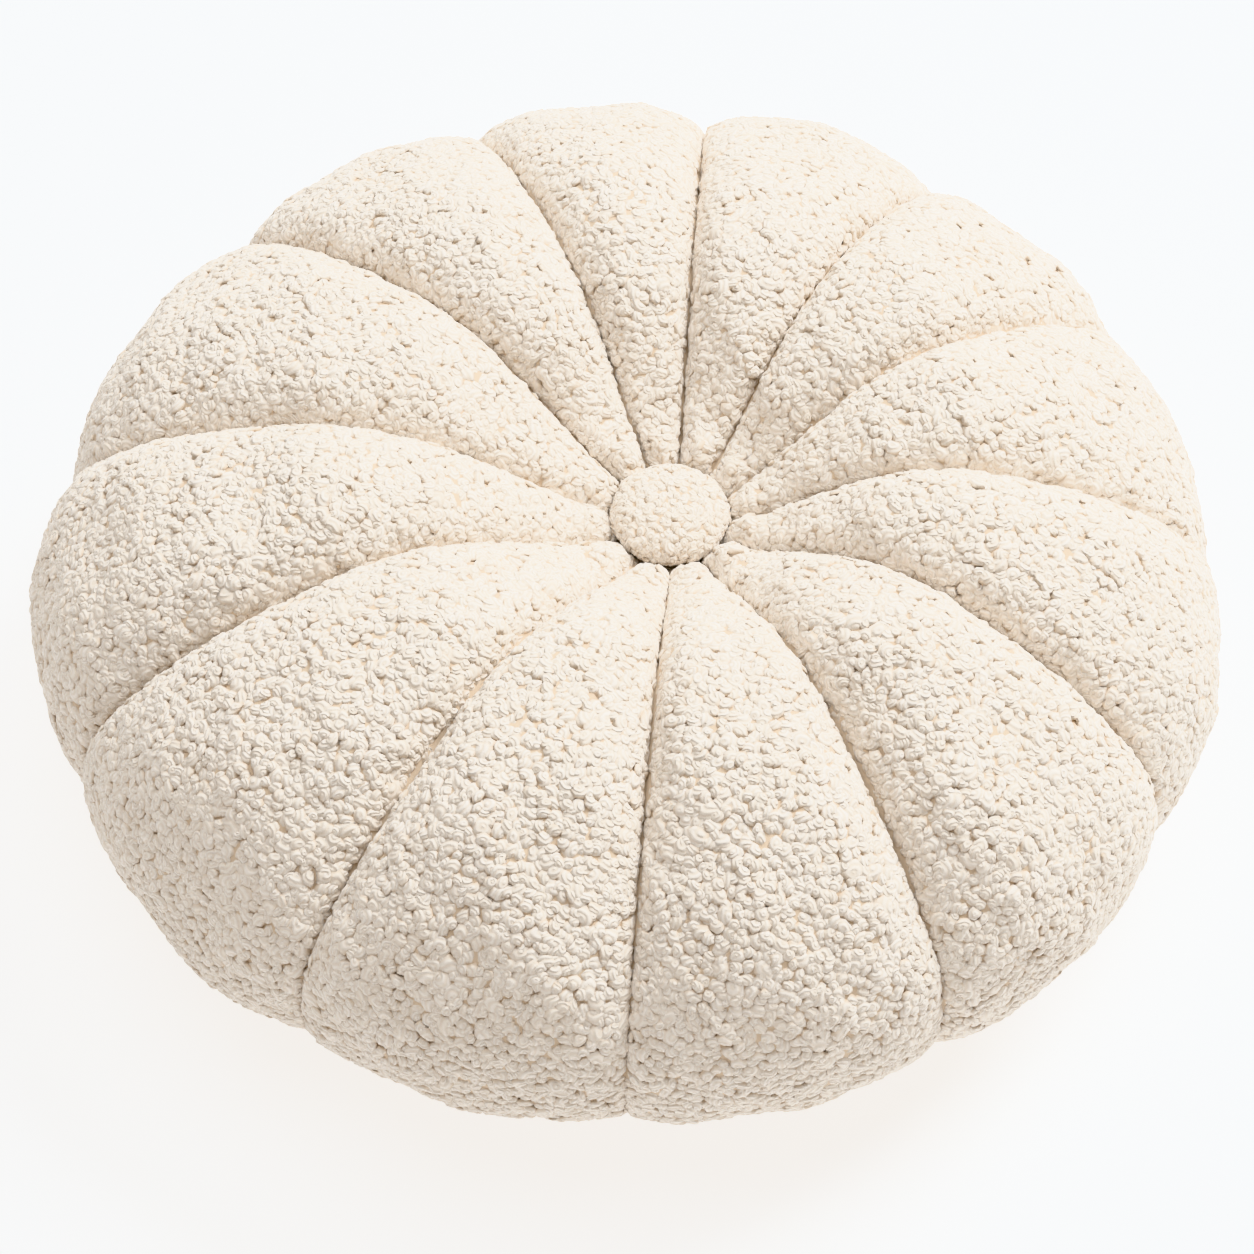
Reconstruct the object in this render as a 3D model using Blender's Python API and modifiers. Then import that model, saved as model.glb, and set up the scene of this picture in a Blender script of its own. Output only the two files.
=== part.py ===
"""A round cushion of twelve sewn panels, drawn in at the centre by a covered button.

Metres, +Z up. The origin is on the surface that the cushion rests on, under the middle of its outline.
"""

import math

import bmesh
import bpy
import numpy as np

# The filled body, measured over the tips of its pile.
RIM_RADIUS = 0.225
RIM_HEIGHT = 0.068
CROWN_HEIGHT = 0.167
UNDERSIDE_SINK = 0.004
ROUNDNESS = 2.4

# The tuft that the button draws in, off the middle towards +X.
TUFT_X = 0.0150
TUFT_Y = -0.005
TUFT_DEPTH = 0.064
TUFT_REACH = 0.068
SEAT_RADIUS = 0.0185
SEAT_BLEND = 0.007

# How deep a seam is drawn in below the panels beside it, by share of the radius. From a profile angle
# just above the rim it eases to the underside's depth, and it ends before the underside's middle.
SEAM_DIPS = {
    "at the button": (0.10, 0.004),
    "on the tuft's wall": (0.28, 0.0115),
    "across the crown": (0.62, 0.0185),
    "on the shoulder": (0.88, 0.015),
    "at the rim": (1.00, 0.0095),
}
UNDERSIDE_DIP = 0.006
PLAIN_CENTRE = 0.10
UNDERSIDE_STARTS = 0.5
PANEL_FLATNESS = 2.6
PANEL_FULLNESS = 0.52

# Each seam's direction at the rim in degrees from +X. The panel that follows it clockwise is stuffed
# a little more or less than its neighbours, and its rim stands a little further out or in.
SEAMS = (
    {"degrees": 81.5, "fullness": 1.00, "reach": -0.0010},
    {"degrees": 53.5, "fullness": 1.05, "reach": -0.0030},
    {"degrees": 25.8, "fullness": 0.97, "reach": -0.0035},
    {"degrees": -3.5, "fullness": 1.00, "reach": 0.0},
    {"degrees": -31.0, "fullness": 1.04, "reach": 0.0010},
    {"degrees": -61.0, "fullness": 1.00, "reach": -0.0005},
    {"degrees": -90.5, "fullness": 0.98, "reach": -0.0010},
    {"degrees": -121.0, "fullness": 1.03, "reach": -0.0005},
    {"degrees": -154.6, "fullness": 1.00, "reach": 0.0},
    {"degrees": -186.8, "fullness": 1.04, "reach": -0.0015},
    {"degrees": -221.8, "fullness": 0.98, "reach": -0.0010},
    {"degrees": -251.5, "fullness": 1.02, "reach": -0.0015},
)

# The mesh: columns across one panel, and rings from the tuft to the middle of the underside.
COLUMNS = 8
RINGS = 54
FINE_RADIUS = 0.028
FINE_RINGS = 9.0
PROFILE_SAMPLES = 4001
ANGLE_STEP = 1e-4

# The covered button, a domed disc.
BUTTON_RADIUS = 0.0225
BUTTON_BACK_RADIUS = 0.0155
BUTTON_EDGE_HEIGHT = 0.0055
BUTTON_TUCK_RADIUS = 0.0203
BUTTON_TUCK_HEIGHT = 0.0019
BUTTON_HEIGHT = 0.0165
BUTTON_ROUNDNESS = 2.3
BUTTON_ARC_POINTS = 9
BUTTON_STEPS = 36
CLEARANCE = 0.0003

CREAM = (0.86, 0.80, 0.71, 1.0)
BUTTON_CREAM = (0.83, 0.77, 0.68, 1.0)
FABRIC_ROUGHNESS = 0.95


def smoothstep(share):
    share = np.clip(share, 0.0, 1.0)
    return share * share * (3.0 - 2.0 * share)


def crest(angle):
    """Radius and height of a panel's ridge, from the tuft (90 degrees) down to the underside (-90)."""
    flat = np.abs(np.cos(angle)) ** (2.0 / ROUNDNESS)
    rise = np.sign(np.sin(angle)) * np.abs(np.sin(angle)) ** (2.0 / ROUNDNESS)
    radius = RIM_RADIUS * flat
    above = (CROWN_HEIGHT - RIM_HEIGHT) * rise
    below = (RIM_HEIGHT + UNDERSIDE_SINK) * rise
    height = RIM_HEIGHT + np.where(rise > 0.0, above, below)
    tuft = TUFT_DEPTH * np.exp(-((radius / TUFT_REACH) ** 2))
    return radius, np.where(rise > 0.0, height - tuft, height)


def seat_height():
    """Height of the small level seat under the button."""
    return CROWN_HEIGHT - TUFT_DEPTH


def seam_dip(radius, angle):
    """How far a seam lies below the ridges beside it."""
    share = radius / RIM_RADIUS
    rows = list(SEAM_DIPS.values())
    top = np.interp(share, [row[0] for row in rows], [row[1] for row in rows])
    under = UNDERSIDE_DIP * smoothstep(share / PLAIN_CENTRE - 1.0)
    turn = smoothstep(UNDERSIDE_STARTS - angle)
    return top * (1.0 - turn) + under * turn


def ring_angles():
    """Profile angles of the rings, evenly spaced along the ridge and closer together at the tuft."""
    angles = np.linspace(math.pi / 2.0, -math.pi / 2.0, PROFILE_SAMPLES)
    radius, height = crest(angles)
    closer = 1.0 + FINE_RINGS * np.exp(-((radius / FINE_RADIUS) ** 2)) * (angles > 0.0)
    steps = np.hypot(np.diff(radius), np.diff(height)) * closer[1:]
    along = np.concatenate([[0.0], np.cumsum(steps)])
    return np.interp(np.linspace(0.0, along[-1], RINGS + 1), along, angles)


def column_place(column):
    """Direction of a column in radians, its place across its panel from -1 to 1, and that panel's row."""
    index, step = divmod(column, COLUMNS)
    start = SEAMS[index]["degrees"]
    end = SEAMS[index + 1]["degrees"] if index + 1 < len(SEAMS) else SEAMS[0]["degrees"] - 360.0
    across = math.sin(math.pi / 2.0 * (2.0 * step / COLUMNS - 1.0))
    direction = math.radians(start + (end - start) * (across + 1.0) / 2.0)
    return direction, across, SEAMS[index]


def tuft_share(radius):
    """How far a ring follows the tuft's off-centre place: wholly round the button, not at all at the rim."""
    wall = SEAT_RADIUS + SEAT_BLEND
    return 1.0 - max(radius - wall, 0.0) / (RIM_RADIUS - wall)


def body_point(angle, direction, across, panel):
    """A point of the cover, sunk from its ridge by the seam's dip, and flat where it rests."""
    radius, height = crest(angle)
    radius_after, height_after = crest(angle - ANGLE_STEP)
    slope = math.hypot(radius_after - radius, height_after - height)
    out = -(height_after - height) / slope
    up = (radius_after - radius) / slope
    bulge = (1.0 - abs(across) ** PANEL_FLATNESS) ** PANEL_FULLNESS
    sunk = seam_dip(radius, angle) * panel["fullness"] * (1.0 - bulge)
    sunk -= panel["reach"] * bulge * (radius / RIM_RADIUS) ** 2
    radius = max(radius - out * sunk, 0.0)
    height = height - up * sunk
    if angle > 0.0:
        level = smoothstep((radius - SEAT_RADIUS) / SEAT_BLEND)
        height = seat_height() + (height - seat_height()) * level
    drift = tuft_share(radius)
    x = TUFT_X * drift + radius * math.cos(direction)
    y = TUFT_Y * drift + radius * math.sin(direction)
    return x, y, max(height, 0.0)


def new_material(name, colour):
    material = bpy.data.materials.new(name)
    material.use_nodes = True
    shader = material.node_tree.nodes["Principled BSDF"]
    shader.inputs["Base Color"].default_value = colour
    shader.inputs["Roughness"].default_value = FABRIC_ROUGHNESS
    shader.inputs["Metallic"].default_value = 0.0
    material.diffuse_color = colour
    return material


def cushion_body(collection, material):
    """A sphere's rings and columns, moved onto the stuffed and tufted cover."""
    columns = COLUMNS * len(SEAMS)
    bm = bmesh.new()
    bmesh.ops.create_uvsphere(bm, u_segments=columns, v_segments=RINGS, radius=1.0)
    angles = ring_angles()
    places = [column_place(column) for column in range(columns)]
    for vertex in bm.verts:
        polar = math.acos(max(-1.0, min(1.0, vertex.co.z)))
        ring = round(polar / math.pi * RINGS)
        turn = math.atan2(vertex.co.y, vertex.co.x) / math.tau
        column = round(-turn * columns) % columns
        vertex.co = body_point(angles[ring], *places[column])
    centre_outline(bm)
    mesh = bpy.data.meshes.new("cushion_body")
    bmesh.ops.recalc_face_normals(bm, faces=bm.faces)
    bm.to_mesh(mesh)
    bm.free()
    mesh.shade_smooth()
    mesh.materials.append(material)
    collection.objects.link(bpy.data.objects.new("cushion_body", mesh))


def outline_shift():
    """How far the stuffed outline's middle lies from the rim circle's centre."""
    points = [body_point(0.0, *column_place(column)) for column in range(COLUMNS * len(SEAMS))]
    x = [point[0] for point in points]
    y = [point[1] for point in points]
    return -(min(x) + max(x)) / 2.0, -(min(y) + max(y)) / 2.0


def centre_outline(bm):
    shift_x, shift_y = outline_shift()
    bmesh.ops.translate(bm, vec=(shift_x, shift_y, 0.0), verts=bm.verts)


def button_profile():
    """The button's section from its crown down and round to its level back, as (radius, height)."""
    points = []
    for step in range(BUTTON_ARC_POINTS + 1):
        angle = math.pi / 2.0 * (1.0 - step / BUTTON_ARC_POINTS)
        radius = BUTTON_RADIUS * math.cos(angle) ** (2.0 / BUTTON_ROUNDNESS)
        rise = (BUTTON_HEIGHT - BUTTON_EDGE_HEIGHT) * math.sin(angle) ** (2.0 / BUTTON_ROUNDNESS)
        points.append((radius, BUTTON_EDGE_HEIGHT + rise))
    points.append((BUTTON_TUCK_RADIUS, BUTTON_TUCK_HEIGHT))
    points.append((BUTTON_BACK_RADIUS, 0.0))
    points.append((0.0, 0.0))
    points[0] = (0.0, BUTTON_HEIGHT)
    return points


def centre_button(collection, material):
    """A turned button on the tuft's seat."""
    profile = button_profile()
    mesh = bpy.data.meshes.new("centre_button")
    edges = [(i, i + 1) for i in range(len(profile) - 1)]
    mesh.from_pydata([(radius, 0.0, height) for radius, height in profile], edges, [])
    button = bpy.data.objects.new("centre_button", mesh)
    collection.objects.link(button)
    screw = button.modifiers.new("turn", "SCREW")
    screw.steps = BUTTON_STEPS
    screw.render_steps = BUTTON_STEPS
    screw.use_merge_vertices = True
    screw.merge_threshold = 1e-5
    screw.use_smooth_shade = True
    mesh.materials.append(material)
    shift_x, shift_y = outline_shift()
    button.location = (TUFT_X + shift_x, TUFT_Y + shift_y, seat_height() + CLEARANCE)


def main():
    for old in list(bpy.data.objects):
        bpy.data.objects.remove(old, do_unlink=True)
    collection = bpy.data.collections.new("round_cushion")
    bpy.context.scene.collection.children.link(collection)
    cushion_body(collection, new_material("boucle_cover", CREAM))
    centre_button(collection, new_material("boucle_button", BUTTON_CREAM))


main()
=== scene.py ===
"""Dresses the round tufted cushion: twelve panels and a covered button of curly pile cloth.

Metres, in the frame's axes. The cover's form follows the same sizes as the solid that it replaces. Every
nub of the pile is a small mesh of its own, and the nubs of one panel are joined into one piece.
"""

import math

import bpy
import numpy as np
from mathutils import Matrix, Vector


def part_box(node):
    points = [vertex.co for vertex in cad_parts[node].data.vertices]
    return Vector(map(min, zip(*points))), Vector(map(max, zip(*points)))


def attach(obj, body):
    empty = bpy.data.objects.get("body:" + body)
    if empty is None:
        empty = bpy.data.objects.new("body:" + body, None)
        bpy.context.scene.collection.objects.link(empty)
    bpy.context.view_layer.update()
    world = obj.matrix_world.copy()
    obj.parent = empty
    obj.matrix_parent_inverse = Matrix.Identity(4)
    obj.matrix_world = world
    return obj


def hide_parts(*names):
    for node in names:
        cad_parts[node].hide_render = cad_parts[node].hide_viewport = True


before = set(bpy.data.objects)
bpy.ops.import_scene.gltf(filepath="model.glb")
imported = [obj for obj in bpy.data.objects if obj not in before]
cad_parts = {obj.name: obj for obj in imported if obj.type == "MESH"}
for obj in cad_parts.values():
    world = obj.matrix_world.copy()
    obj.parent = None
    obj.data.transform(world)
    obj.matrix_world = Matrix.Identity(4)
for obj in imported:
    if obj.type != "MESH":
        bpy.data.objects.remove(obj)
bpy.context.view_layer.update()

# The filled body, measured over the tips of its pile.
RIM_RADIUS = 0.225
RIM_HEIGHT = 0.068
CROWN_HEIGHT = 0.167
UNDERSIDE_SINK = 0.004
ROUNDNESS = 2.4
TUFT_PLACE = (0.0150, -0.005)
TUFT_DEPTH = 0.064
TUFT_REACH = 0.068
SEAT_RADIUS = 0.0185
SEAT_BLEND = 0.007

# A seam's depth below the ridges beside it, by share of the radius, on top and underneath.
DIP_SHARES = (0.10, 0.28, 0.62, 0.88, 1.00)
DIP_DEPTHS = (0.004, 0.0115, 0.0185, 0.0150, 0.0095)
UNDERSIDE_DIP = 0.006
PLAIN_CENTRE = 0.10
UNDERSIDE_STARTS = 0.5
PANEL_FLATNESS = 2.6
PANEL_FULLNESS = 0.52

# Each seam's direction at the rim in degrees from +X, and the panel that follows it clockwise.
SEAMS = (
    {"degrees": 81.5, "fullness": 1.00, "reach": -0.0010},
    {"degrees": 53.5, "fullness": 1.05, "reach": -0.0030},
    {"degrees": 25.8, "fullness": 0.97, "reach": -0.0035},
    {"degrees": -3.5, "fullness": 1.00, "reach": 0.0},
    {"degrees": -31.0, "fullness": 1.04, "reach": 0.0010},
    {"degrees": -61.0, "fullness": 1.00, "reach": -0.0005},
    {"degrees": -90.5, "fullness": 0.98, "reach": -0.0010},
    {"degrees": -121.0, "fullness": 1.03, "reach": -0.0005},
    {"degrees": -154.6, "fullness": 1.00, "reach": 0.0},
    {"degrees": -186.8, "fullness": 1.04, "reach": -0.0015},
    {"degrees": -221.8, "fullness": 0.98, "reach": -0.0010},
    {"degrees": -251.5, "fullness": 1.02, "reach": -0.0015},
)

# The cover's grid: columns across a panel, and rings from the tuft to the middle of the underside. The
# solid's own grid has fewer columns, which set the middle of its outline.
SOLID_COLUMNS = 8
COLUMNS = 20
RINGS = 130
PROFILE_SAMPLES = 4001
ANGLE_STEP = 1e-4

# Soft unevenness of the filling: how far it moves the cover, and the range of its waves' lengths.
FILLING = {"height": 0.0010, "waves": 9, "shortest": 0.030, "longest": 0.080}
# The panels' ends, which swell up against the button: how high, how far from its middle, and how wide.
LIP = {"height": 0.0045, "radius": 0.0285, "width": 0.0060}
# Clumps in the pile, which set neighbouring nubs higher or lower together.
CLUMPS = {"height": 0.00025, "waves": 12, "shortest": 0.009, "longest": 0.018}
# Where the biggest nubs gather.
CLUSTERS = {"height": 1.0, "waves": 8, "shortest": 0.025, "longest": 0.060}
# The direction that the nubs' long sides follow, in turns, which makes the pile look swirled.
SWIRLS = {"height": 0.35, "waves": 10, "shortest": 0.012, "longest": 0.035}

# The pile. The backing lies this far below the pile's tips. A nub's gap is the least distance between its
# middle and another's, its size is its half width, and the levels of its section are shares of its height.
BACKING_DEPTH = 0.0013
BUTTON_BACKING_DEPTH = 0.0012
CLUSTER_NUB = {"gap": 0.0080, "size": 0.0042, "height": 0.0026}
LARGE_NUB = {"gap": 0.0042, "size": 0.0033, "height": 0.0021}
SMALL_NUB = {"gap": 0.0026, "size": 0.0027, "height": 0.0018}
UNDER_NUB = {"gap": 0.0056, "size": 0.0040, "height": 0.0026}
BUTTON_NUB = {"gap": 0.0023, "size": 0.0025, "height": 0.0019}
# Places tried for each square whose side is the gap.
TRIES_PER_GAP = 9.0
# The share of the tuft's seat that the button hides, where no nub stands.
HIDDEN_SEAT = 0.8
SEED = 7

# A nub's points round each ring, its rings as (share of its size, level below its tip), and its root.
NUB_SIDES = 6
NUB_SECTION = ((0.66, -0.20), (1.00, -0.82))
NUB_ROOT = -1.30
# A nub's length, width and height, as shares of its size and height.
LENGTH_RANGE = (0.95, 1.30)
WIDTH_RANGE = (0.82, 1.05)
HEIGHT_RANGE = (0.85, 1.15)
# How far a nub bends like a bean, and where its middle comes to lie.
BEND_RANGE = (-0.45, 0.45)
BEND_MIDDLE = 0.4
# How far a nub leans, and how far it turns away from the swirl, in turns.
TILT = 0.22
STRAY_TURN = 0.08
# How lumpy a nub is, outwards and then up and down.
LUMPS = 0.14
LEVEL_LUMPS = 0.5
# How far a nub is set below the surface, and how far its curl's middle lies from its own.
SINK_RANGE = (0.0, 0.0004)
CURL_SHIFT = 0.55

# The covered button: the height of its widest part as a share of its own, the roundness of its dome, the
# profile angles down its dome and round its tucked edge, and the steps around it.
BUTTON_EDGE_SHARE = 0.33
BUTTON_ROUNDNESS = 2.3
BUTTON_DOME_RINGS = 15
BUTTON_TUCK_ANGLES = (-0.15, -0.95)
BUTTON_TUCK_RINGS = 5
BUTTON_STEPS = 56

# Camera and floor.
FLOOR_SIZE = 8.0
CAMERA_ELEVATION = math.radians(55.65)
CAMERA_DISTANCE = 0.948
CAMERA_TARGET = Vector((0.0006, 0.0005, 0.0275))
LENS = 68.2
SENSOR = 36.0

# Colours and light. The lamps are cooler than the room's light, which fills the hollows.
CREAM_TIP = (0.900, 0.834, 0.762, 1.0)
CREAM_SHADE = (0.875, 0.798, 0.712, 1.0)
# Painted shade: a darker tan in the grooves between a nub's strands, standing in for the shade there.
CREAM_GROOVE_PAINTED_SHADE = (0.790, 0.690, 0.580, 1.0)
# Painted shade: a darker tan at the nubs' roots and over the whole backing, standing in for the shade in
# the hollows between nubs.
CREAM_ROOT_PAINTED_SHADE = (0.710, 0.570, 0.430, 1.0)
# The levels between which a nub turns from the painted shade at its root to its own colour, and how the
# painted shade in its strands' grooves darkens it.
ROOT_LEVELS = (0.05, 0.85)
STRAND_LEVELS = (0.0, 0.7)
STRAND_SHARES = (0.35, 1.0)
FLOOR_WHITE = (0.94, 0.94, 0.94, 1.0)
FLOOR_GLOW = {"colour": (0.94, 0.97, 1.0, 1.0), "strength": 0.60}
ROOM_LIGHT = {"colour": (1.0, 0.900, 0.800, 1.0), "strength": 0.42}
KEY_LIGHT = {"place": (1.2, 1.1, 1.6), "size": 1.4, "power": 80.0}
OVERHEAD_LIGHT = {"place": (-0.3, 0.3, 2.2), "size": 1.8, "power": 22.0}
LAMP_COLOUR = (0.90, 0.955, 1.0)


def smoothstep(share):
    share = np.clip(share, 0.0, 1.0)
    return share * share * (3.0 - 2.0 * share)


def unit(vectors):
    return vectors / np.maximum(np.linalg.norm(vectors, axis=-1, keepdims=True), 1e-12)


def crest(angle):
    """Radius and height of a panel's ridge, from the tuft (90 degrees) down to the underside (-90)."""
    flat = np.abs(np.cos(angle)) ** (2.0 / ROUNDNESS)
    rise = np.sign(np.sin(angle)) * np.abs(np.sin(angle)) ** (2.0 / ROUNDNESS)
    radius = RIM_RADIUS * flat
    above = (CROWN_HEIGHT - RIM_HEIGHT) * rise
    below = (RIM_HEIGHT + UNDERSIDE_SINK) * rise
    height = RIM_HEIGHT + np.where(rise > 0.0, above, below)
    tuft = TUFT_DEPTH * np.exp(-((radius / TUFT_REACH) ** 2))
    return radius, np.where(rise > 0.0, height - tuft, height)


def seam_dip(radius, angle):
    """How far a seam lies below the ridges beside it."""
    share = radius / RIM_RADIUS
    top = np.interp(share, DIP_SHARES, DIP_DEPTHS)
    under = UNDERSIDE_DIP * smoothstep(share / PLAIN_CENTRE - 1.0)
    turn = smoothstep(UNDERSIDE_STARTS - angle)
    return top * (1.0 - turn) + under * turn


def ring_angles():
    """Profile angles of rings that are evenly spaced along the ridge."""
    angles = np.linspace(math.pi / 2.0, -math.pi / 2.0, PROFILE_SAMPLES)
    radius, height = crest(angles)
    along = np.concatenate([[0.0], np.cumsum(np.hypot(np.diff(radius), np.diff(height)))])
    return np.interp(np.linspace(0.0, along[-1], RINGS + 1), along, angles)


def panel_span(index):
    """Directions of a panel's two seams, in degrees, clockwise."""
    last = index + 1 == len(SEAMS)
    return SEAMS[index]["degrees"], SEAMS[0]["degrees"] - 360.0 if last else SEAMS[index + 1]["degrees"]


def panel_points(angle, across, index):
    """Points of one panel's outer surface, for arrays of profile angles and places across it."""
    panel = SEAMS[index]
    start, end = panel_span(index)
    direction = np.radians(start + (end - start) * (across + 1.0) / 2.0)
    radius, height = crest(angle)
    radius_after, height_after = crest(angle - ANGLE_STEP)
    slope = np.hypot(radius_after - radius, height_after - height)
    out = -(height_after - height) / slope
    up = (radius_after - radius) / slope
    bulge = (1.0 - np.abs(across) ** PANEL_FLATNESS) ** PANEL_FULLNESS
    sunk = seam_dip(radius, angle) * panel["fullness"] * (1.0 - bulge)
    sunk = sunk - panel["reach"] * bulge * (radius / RIM_RADIUS) ** 2
    radius = np.maximum(radius - out * sunk, 0.0)
    height = height - up * sunk
    seat = CROWN_HEIGHT - TUFT_DEPTH
    level = smoothstep((radius - SEAT_RADIUS) / SEAT_BLEND)
    height = np.where(angle > 0.0, seat + (height - seat) * level, height)
    wall = SEAT_RADIUS + SEAT_BLEND
    drift = 1.0 - np.maximum(radius - wall, 0.0) / (RIM_RADIUS - wall)
    x = TUFT_PLACE[0] * drift + radius * np.cos(direction)
    y = TUFT_PLACE[1] * drift + radius * np.sin(direction)
    return np.stack([x, y, np.maximum(height, 0.0)], axis=-1)


def outline_shift():
    """How far the outline's middle lies from the rim circle's centre, as in the solid."""
    across = np.sin(np.linspace(-math.pi / 2.0, math.pi / 2.0, SOLID_COLUMNS + 1))
    level = np.zeros(SOLID_COLUMNS + 1)
    rim = np.concatenate([panel_points(level, across, index) for index in range(len(SEAMS))])
    return np.array([*(-(rim.min(axis=0) + rim.max(axis=0))[:2] / 2.0), 0.0])


def waves(points, kind):
    """A smooth, fixed unevenness at each point, made of waves in random directions."""
    rng = np.random.default_rng(SEED)
    total = np.zeros(points.shape[:-1])
    for _ in range(kind["waves"]):
        heading = unit(rng.normal(size=3))
        length = rng.uniform(kind["shortest"], kind["longest"])
        total += np.sin(points @ heading * math.tau / length + rng.uniform(0.0, math.tau))
    return total * kind["height"] * math.sqrt(2.0 / kind["waves"])


def grid_normals(points):
    """Outward normals of a grid whose rows run down the profile and whose columns run clockwise."""
    return unit(np.cross(np.gradient(points, axis=1), np.gradient(points, axis=0)))


def panel_grid(index):
    """One panel's outer surface and its normals, as (ring, column) grids."""
    across = np.sin(np.linspace(-math.pi / 2.0, math.pi / 2.0, COLUMNS + 1))
    angle_grid, across_grid = np.meshgrid(ring_angles(), across, indexing="ij")
    points = panel_points(angle_grid, across_grid, index) + SHIFT
    edge = (1.0 - across_grid**2)[..., None]
    points = points + grid_normals(points) * waves(points, FILLING)[..., None] * edge
    tuft = np.array(TUFT_PLACE) + SHIFT[:2]
    from_tuft = np.hypot(points[..., 0] - tuft[0], points[..., 1] - tuft[1])
    swell = np.exp(-(((from_tuft - LIP["radius"]) / LIP["width"]) ** 2)) * (angle_grid > 0.0)
    points[..., 2] += LIP["height"] * swell * edge[..., 0]
    points[..., 2] = np.maximum(points[..., 2], 0.0)
    return points, grid_normals(points)


def new_mesh(name, points, faces):
    mesh = bpy.data.meshes.new(name)
    corners = np.concatenate([np.asarray(face, np.int32).ravel() for face in faces])
    sizes = np.concatenate([np.full(len(face), face.shape[1], np.int32) for face in faces])
    mesh.vertices.add(len(points))
    mesh.vertices.foreach_set("co", np.asarray(points, np.float32).ravel())
    mesh.loops.add(len(corners))
    mesh.loops.foreach_set("vertex_index", corners)
    mesh.polygons.add(len(sizes))
    mesh.polygons.foreach_set("loop_start", np.concatenate([[0], np.cumsum(sizes)[:-1]]).astype(np.int32))
    mesh.update(calc_edges=True)
    mesh.shade_smooth()
    piece = bpy.data.objects.new(name, mesh)
    bpy.context.scene.collection.objects.link(piece)
    return piece


def set_values(piece, name, values):
    """Stores one number at each point, for the material."""
    attribute = piece.data.attributes.new(name, "FLOAT", "POINT")
    attribute.data.foreach_set("value", np.asarray(values, np.float32))


def closed_skin(name, points):
    """A closed skin from a grid whose first and last rows each meet in one point."""
    rings, columns = points.shape[0] - 2, points.shape[1]
    ends = [points[0].mean(axis=0), points[-1].mean(axis=0)]
    vertices = np.concatenate([points[1:-1].reshape(-1, 3), ends])
    column = np.arange(columns)
    after = (column + 1) % columns
    row = np.arange(rings - 1)[:, None] * columns
    quads = np.stack([row + column, row + columns + column, row + columns + after, row + after], axis=-1)
    last = (rings - 1) * columns
    top = np.stack([np.full(columns, len(vertices) - 2), column, after], axis=-1)
    bottom = np.stack([np.full(columns, len(vertices) - 1), last + after, last + column], axis=-1)
    piece = new_mesh(name, vertices, [quads.reshape(-1, 4)[:, ::-1], top[:, ::-1], bottom[:, ::-1]])
    # A tip value of nought gives the whole skin the painted shade of the nubs' roots.
    set_values(piece, "tip", np.zeros(len(vertices)))
    set_values(piece, "tone", np.zeros(len(vertices)))
    return piece


def inside(points, depth):
    """A grid that wraps round, moved inwards. Its first and last rows are the top and bottom points."""
    wrapped = np.concatenate([points[:, -2:], points, points[:, :2]], axis=1)
    normals = grid_normals(wrapped)[:, 2:-2]
    normals[0] = (0.0, 0.0, 1.0)
    normals[-1] = (0.0, 0.0, -1.0)
    return points - normals * depth


def backing_cloth(grids):
    """The backing that the pile stands on: all panels as one closed skin, a pile's depth inside."""
    points = np.concatenate([points[:, :-1] for points, _ in grids], axis=1)
    return closed_skin("cover_backing", inside(points, BACKING_DEPTH)[:, ::2])


def cell_areas(points):
    low, high = points[:-1, :-1], points[1:, 1:]
    return np.linalg.norm(np.cross(high - low, points[:-1, 1:] - points[1:, :-1]), axis=-1) / 2.0


def random_places(points, normals, count, rng):
    """Points spread at random over a grid by area, and the normals there."""
    area = cell_areas(points)
    cells = rng.choice(area.size, size=count, p=area.ravel() / area.sum())
    row, column = np.unravel_index(cells, area.shape)
    down, along = rng.random((2, count, 1))

    def blend(grid):
        first = grid[row, column] * (1.0 - along) + grid[row, column + 1] * along
        second = grid[row + 1, column] * (1.0 - along) + grid[row + 1, column + 1] * along
        return first * (1.0 - down) + second * down

    return blend(points), unit(blend(normals))


def keep_apart(points, gap, taken):
    """Indices of the points, in order, that lie at least gap from each other and from the taken ones."""
    boxes = {}
    for point in taken:
        boxes.setdefault(tuple(int(value // gap) for value in point), []).append(point)
    steps = [(i, j, k) for i in (-1, 0, 1) for j in (-1, 0, 1) for k in (-1, 0, 1)]
    kept = []
    for index, (x, y, z) in enumerate(points.tolist()):
        home = (int(x // gap), int(y // gap), int(z // gap))
        near = (boxes.get((home[0] + i, home[1] + j, home[2] + k), ()) for i, j, k in steps)
        if all((a - x) ** 2 + (b - y) ** 2 + (c - z) ** 2 >= gap * gap for box in near for a, b, c in box):
            boxes.setdefault(home, []).append((x, y, z))
            kept.append(index)
    return np.array(kept, int)


def place_nubs(points, normals, kind, taken, rng):
    """Places for one kind of nub on a grid, apart from each other and from those taken."""
    wanted = int(TRIES_PER_GAP * cell_areas(points).sum() / kind["gap"] ** 2)
    places, directions = random_places(points, normals, wanted, rng)
    if kind is CLUSTER_NUB:
        gathered = waves(places, CLUSTERS) > 0.0
        places, directions = places[gathered], directions[gathered]
    kept = keep_apart(places, kind["gap"], taken)
    taken.extend(places[kept].tolist())
    return places[kept], directions[kept]


def nub_faces():
    """Faces of one nub: a fan at the tip, bands between its rings, and a fan at the root."""
    around = np.arange(NUB_SIDES)
    after = (around + 1) % NUB_SIDES
    faces = [np.stack([np.zeros(NUB_SIDES, int), 1 + around, 1 + after], axis=-1)]
    for ring in range(len(NUB_SECTION) - 1):
        upper = 1 + ring * NUB_SIDES
        lower = upper + NUB_SIDES
        faces.append(np.stack([upper + around, lower + around, lower + after], axis=-1))
        faces.append(np.stack([upper + around, lower + after, upper + after], axis=-1))
    last = 1 + (len(NUB_SECTION) - 1) * NUB_SIDES
    root = np.full(NUB_SIDES, 1 + len(NUB_SECTION) * NUB_SIDES)
    faces.append(np.stack([last + around, root, last + after], axis=-1))
    return np.concatenate(faces)


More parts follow.
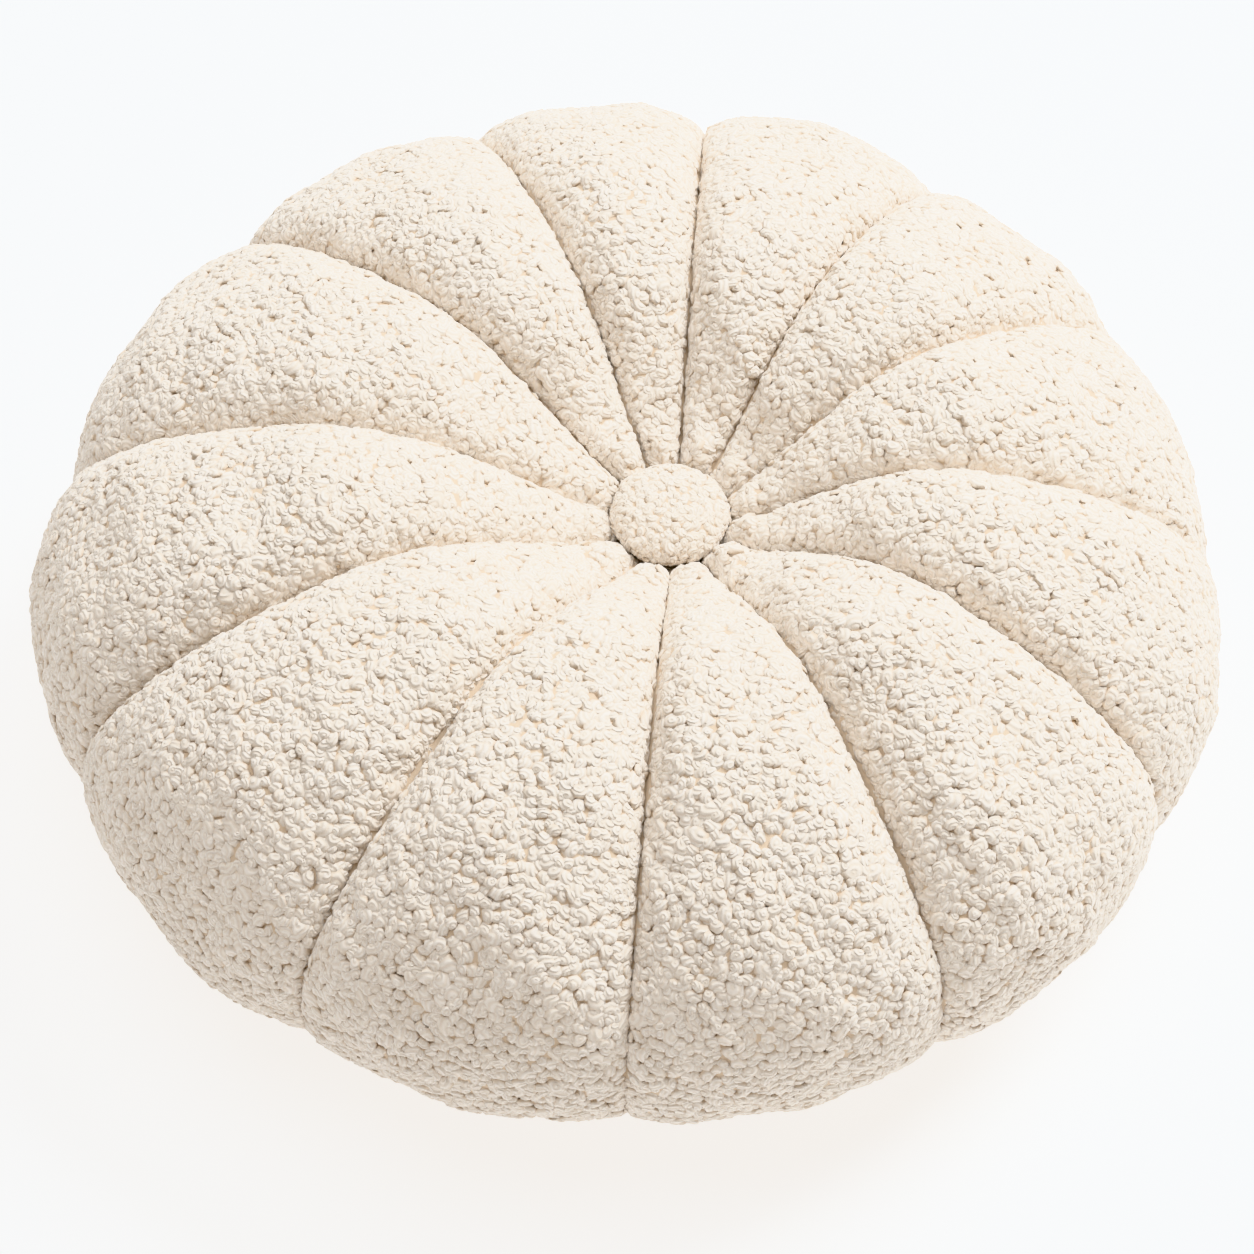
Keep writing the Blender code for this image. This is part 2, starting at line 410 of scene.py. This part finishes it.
def nub_axes(places, normals, rng):
    """Each nub's three axes: its long side along the swirl, its short side, and its leaning tip."""
    count = len(places)
    lean = unit(normals + rng.uniform(-TILT, TILT, (count, 3)))
    round_centre = np.stack([-places[:, 1], places[:, 0], np.zeros(count)], axis=-1)
    flat = unit(np.cross(round_centre, lean))
    turn = math.tau * (waves(places, SWIRLS) + rng.uniform(-STRAY_TURN, STRAY_TURN, count))[:, None]
    side = unit(flat * np.cos(turn) + np.cross(lean, flat) * np.sin(turn))
    return np.stack([side, np.cross(lean, side), lean], axis=1)


def nub_points(places, normals, kind, rng):
    """Every nub's points: a dome, longer than wide, bent like a bean, lumpy and leaning a little."""
    count, rings = len(places), len(NUB_SECTION)
    turn = np.linspace(0.0, math.tau, NUB_SIDES, endpoint=False)
    length = rng.uniform(*LENGTH_RANGE, (count, 1, 1)) * kind["size"]
    width = rng.uniform(*WIDTH_RANGE, (count, 1, 1)) * kind["size"]
    height = rng.uniform(*HEIGHT_RANGE, (count, 1, 1)) * kind["height"]
    bend = rng.uniform(*BEND_RANGE, (count, 1, 1))
    radius = np.array([ring[0] for ring in NUB_SECTION])[None, :, None]
    level = np.array([ring[1] for ring in NUB_SECTION])[None, :, None]
    lumps = radius * (1.0 + LUMPS * rng.uniform(-1.0, 1.0, (count, rings, NUB_SIDES)))
    x = lumps * np.cos(turn)
    y = lumps * np.sin(turn) + bend * (x * x - BEND_MIDDLE)
    z = level + LUMPS * rng.uniform(-LEVEL_LUMPS, LEVEL_LUMPS, (count, rings, NUB_SIDES))
    body = np.stack([x * length, y * width, z * height], axis=-1).reshape(count, -1, 3)
    tip = np.zeros((count, 1, 3))
    tip[:, :, 1] = -BEND_MIDDLE * (bend * width)[:, :, 0]
    root = tip.copy()
    root[:, :, 2] = NUB_ROOT * height[:, :, 0]
    local = np.concatenate([tip, body, root], axis=1)
    sink = rng.uniform(*SINK_RANGE, count) - waves(places, CLUMPS)
    return np.einsum("nvi,nij->nvj", local, nub_axes(places, normals, rng)) + (
        places - normals * sink[:, None]
    )[:, None]


def join_nubs(name, nubs, rng):
    """One piece from arrays of nubs, with each point's height up its nub, its tone and its curl's map."""
    nubs = np.concatenate(nubs)
    count, each = nubs.shape[:2]
    faces = (nub_faces()[None] + (np.arange(count) * each)[:, None, None]).reshape(-1, 3)
    points = nubs.reshape(-1, 3)
    points[:, 2] = np.maximum(points[:, 2], 0.0)
    piece = new_mesh(name, points, [faces])
    levels = [0.0] + [ring[1] for ring in NUB_SECTION for _ in range(NUB_SIDES)] + [NUB_ROOT]
    # Each point's height up its nub sets how much painted shade it gets towards its root.
    set_values(piece, "tip", np.tile(np.clip(1.0 + np.array(levels), 0.0, 1.0), count))
    set_values(piece, "tone", np.repeat(rng.uniform(-1.0, 1.0, count), each))
    set_values(piece, "turn", np.repeat(rng.uniform(0.0, math.tau, count), each))
    turn = np.linspace(0.0, math.tau, NUB_SIDES, endpoint=False)
    rings = [(share * math.cos(a), share * math.sin(a)) for share, _ in NUB_SECTION for a in turn]
    curl = np.array([(0.0, 0.0), *rings, (0.0, 0.0)])
    centres = rng.uniform(-CURL_SHIFT, CURL_SHIFT, (count, 1, 2))
    spots = (curl[None] + centres).reshape(-1, 2)[faces.ravel()]
    piece.data.uv_layers.new(name="curl").uv.foreach_set("vector", spots.astype(np.float32).ravel())
    return piece


def panel_pile(index, grid):
    """All the nubs of one panel, the biggest first and smaller ones between them."""
    rng = np.random.default_rng(SEED + index)
    points, normals = grid
    angles = ring_angles()
    radius, height = crest(angles)
    top = int(np.argmax(radius > SEAT_RADIUS * HIDDEN_SEAT))
    under = int(np.argmax(height <= 0.0))
    taken, nubs = [], []
    for kind in (CLUSTER_NUB, LARGE_NUB, SMALL_NUB, UNDER_NUB):
        rows = slice(under, RINGS + 1) if kind is UNDER_NUB else slice(top, under + 1)
        places, directions = place_nubs(points[rows], normals[rows], kind, taken, rng)
        nubs.append(nub_points(places, directions, kind, rng))
    return join_nubs(f"pile_panel_{index + 1:02d}", nubs, rng)


def button_grid():
    """The covered button's domed outer surface, as a grid from its crown to its tucked edge."""
    low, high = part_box("centre_button")
    middle = (low + high) / 2.0
    radius = (high.x - low.x) / 2.0
    edge = BUTTON_EDGE_SHARE * (high.z - low.z)
    turn = np.linspace(0.0, -math.tau, BUTTON_STEPS + 1)
    dome = np.linspace(math.pi / 2.0, 0.0, BUTTON_DOME_RINGS)
    angle = np.concatenate([dome, np.linspace(*BUTTON_TUCK_ANGLES, BUTTON_TUCK_RINGS)])
    across = radius * np.abs(np.cos(angle)) ** (2.0 / BUTTON_ROUNDNESS)
    rise = np.sign(np.sin(angle)) * np.abs(np.sin(angle)) ** (2.0 / BUTTON_ROUNDNESS)
    height = low.z + edge + np.where(rise > 0.0, (high.z - low.z - edge) * rise, edge * rise)
    x = middle.x + across[:, None] * np.cos(turn)
    y = middle.y + across[:, None] * np.sin(turn)
    points = np.stack([x, y, np.broadcast_to(height[:, None], x.shape)], axis=-1)
    return points, grid_normals(points)


def covered_button():
    """The button's backing and its finer pile."""
    points, normals = button_grid()
    bottom = np.broadcast_to(points[-1].mean(axis=0), points[-1:, :-1].shape)
    skin = inside(np.concatenate([points[:, :-1], bottom]), BUTTON_BACKING_DEPTH)
    rng = np.random.default_rng(SEED + len(SEAMS))
    places, directions = place_nubs(points, normals, BUTTON_NUB, [], rng)
    nubs = nub_points(places, directions, BUTTON_NUB, rng)
    return closed_skin("button_backing", skin), join_nubs("pile_button", [nubs], rng)


def pile_cloth(name):
    """Cream curly wool-like pile: paler tips, painted shade at the roots and in the strands' grooves, fine
    curls and a soft sheen.
    """
    material = bpy.data.materials.new(name)
    material.use_nodes = True
    nodes = material.node_tree.nodes
    links = material.node_tree.links
    shader = nodes["Principled BSDF"]
    shader.inputs["Roughness"].default_value = 0.92
    shader.inputs["Specular IOR Level"].default_value = 0.15
    shader.inputs["Sheen Weight"].default_value = 0.45
    shader.inputs["Sheen Roughness"].default_value = 0.4
    place = nodes.new("ShaderNodeTexCoord")

    def attribute(title):
        node = nodes.new("ShaderNodeAttribute")
        node.attribute_name = title
        return node.outputs["Fac"]

    def ramp(source, low, high, start=0.0, end=1.0):
        node = nodes.new("ShaderNodeMapRange")
        node.interpolation_type = "SMOOTHSTEP"
        node.inputs["From Min"].default_value = low
        node.inputs["From Max"].default_value = high
        node.inputs["To Min"].default_value = start
        node.inputs["To Max"].default_value = end
        links.new(source, node.inputs["Value"])
        return node.outputs["Result"]

    def mix(factor, first, second):
        node = nodes.new("ShaderNodeMix")
        node.data_type = "RGBA"
        links.new(factor, node.inputs["Factor"])
        for socket, value in (("A", first), ("B", second)):
            if isinstance(value, tuple):
                node.inputs[socket].default_value = value
            else:
                links.new(value, node.inputs[socket])
        return node.outputs["Result"]

    curl = nodes.new("ShaderNodeUVMap")
    curl.uv_map = "curl"
    strands = nodes.new("ShaderNodeTexWave")
    strands.wave_type = "RINGS"
    strands.rings_direction = "SPHERICAL"
    strands.inputs["Scale"].default_value = 0.62
    strands.inputs["Distortion"].default_value = 3.0
    strands.inputs["Detail"].default_value = 1.0
    strands.inputs["Detail Scale"].default_value = 1.3
    links.new(curl.outputs["UV"], strands.inputs["Vector"])
    links.new(attribute("turn"), strands.inputs["Phase Offset"])

    cream = mix(ramp(attribute("tone"), -1.0, 1.0), CREAM_SHADE, CREAM_TIP)
    # Painted shade in the grooves between the strands.
    groove_shaded_cream = mix(ramp(strands.outputs["Fac"], *STRAND_LEVELS, *STRAND_SHARES), CREAM_GROOVE_PAINTED_SHADE, cream)
    # Painted shade towards each nub's root and on the backing, whose tip value is nought.
    root_shaded_cream = mix(ramp(attribute("tip"), *ROOT_LEVELS), CREAM_ROOT_PAINTED_SHADE, groove_shaded_cream)
    links.new(root_shaded_cream, shader.inputs["Base Color"])

    fibres = nodes.new("ShaderNodeTexNoise")
    fibres.inputs["Scale"].default_value = 1100.0
    fibres.inputs["Detail"].default_value = 2.0
    fibres.inputs["Distortion"].default_value = 1.0
    links.new(place.outputs["Object"], fibres.inputs["Vector"])
    curls = nodes.new("ShaderNodeBump")
    curls.inputs["Strength"].default_value = 0.60
    curls.inputs["Distance"].default_value = 0.0005
    links.new(strands.outputs["Fac"], curls.inputs["Height"])
    wool = nodes.new("ShaderNodeBump")
    wool.inputs["Strength"].default_value = 0.45
    wool.inputs["Distance"].default_value = 0.0004
    links.new(fibres.outputs["Fac"], wool.inputs["Height"])
    links.new(curls.outputs["Normal"], wool.inputs["Normal"])
    links.new(wool.outputs["Normal"], shader.inputs["Normal"])
    return material


def finish(piece, material, node):
    piece.data.materials.append(material)
    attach(piece, "root")
    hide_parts(node)


def floor():
    bpy.ops.mesh.primitive_plane_add(size=FLOOR_SIZE)
    plane = bpy.context.object
    plane.name = "studio_floor"
    material = bpy.data.materials.new("pale_floor")
    material.use_nodes = True
    shader = material.node_tree.nodes["Principled BSDF"]
    shader.inputs["Base Color"].default_value = FLOOR_WHITE
    shader.inputs["Roughness"].default_value = 1.0
    shader.inputs["Specular IOR Level"].default_value = 0.0
    shader.inputs["Emission Color"].default_value = FLOOR_GLOW["colour"]
    shader.inputs["Emission Strength"].default_value = FLOOR_GLOW["strength"]
    plane.data.materials.append(material)


def camera():
    back = Vector((0.0, -math.cos(CAMERA_ELEVATION), math.sin(CAMERA_ELEVATION)))
    data = bpy.data.cameras.new("photo_camera")
    data.sensor_width = SENSOR
    data.lens = LENS
    eye = bpy.data.objects.new("photo_camera", data)
    eye.location = CAMERA_TARGET + CAMERA_DISTANCE * back
    eye.rotation_euler = (math.pi / 2.0 - CAMERA_ELEVATION, 0.0, 0.0)
    bpy.context.scene.collection.objects.link(eye)
    bpy.context.scene.camera = eye


def area_light(name, place, size, power):
    data = bpy.data.lights.new(name, "AREA")
    data.shape = "DISK"
    data.size = size
    data.energy = power
    data.color = LAMP_COLOUR
    lamp = bpy.data.objects.new(name, data)
    lamp.location = place
    lamp.rotation_euler = (-Vector(place)).to_track_quat("-Z", "Y").to_euler()
    bpy.context.scene.collection.objects.link(lamp)


def studio():
    scene = bpy.context.scene
    scene.view_settings.view_transform = "Khronos PBR Neutral"
    world = bpy.data.worlds.new("studio")
    world.use_nodes = True
    background = world.node_tree.nodes["Background"]
    background.inputs["Color"].default_value = ROOM_LIGHT["colour"]
    background.inputs["Strength"].default_value = ROOM_LIGHT["strength"]
    scene.world = world
    area_light("key", **KEY_LIGHT)
    area_light("overhead", **OVERHEAD_LIGHT)


SHIFT = outline_shift()

camera()
studio()
floor()

grids = [panel_grid(index) for index in range(len(SEAMS))]
cover = pile_cloth("cream_pile")
finish(backing_cloth(grids), cover, "cushion_body")
for index, grid in enumerate(grids):
    finish(panel_pile(index, grid), cover, "cushion_body")
button_cover = pile_cloth("cream_button_pile")
for piece in covered_button():
    finish(piece, button_cover, "centre_button")
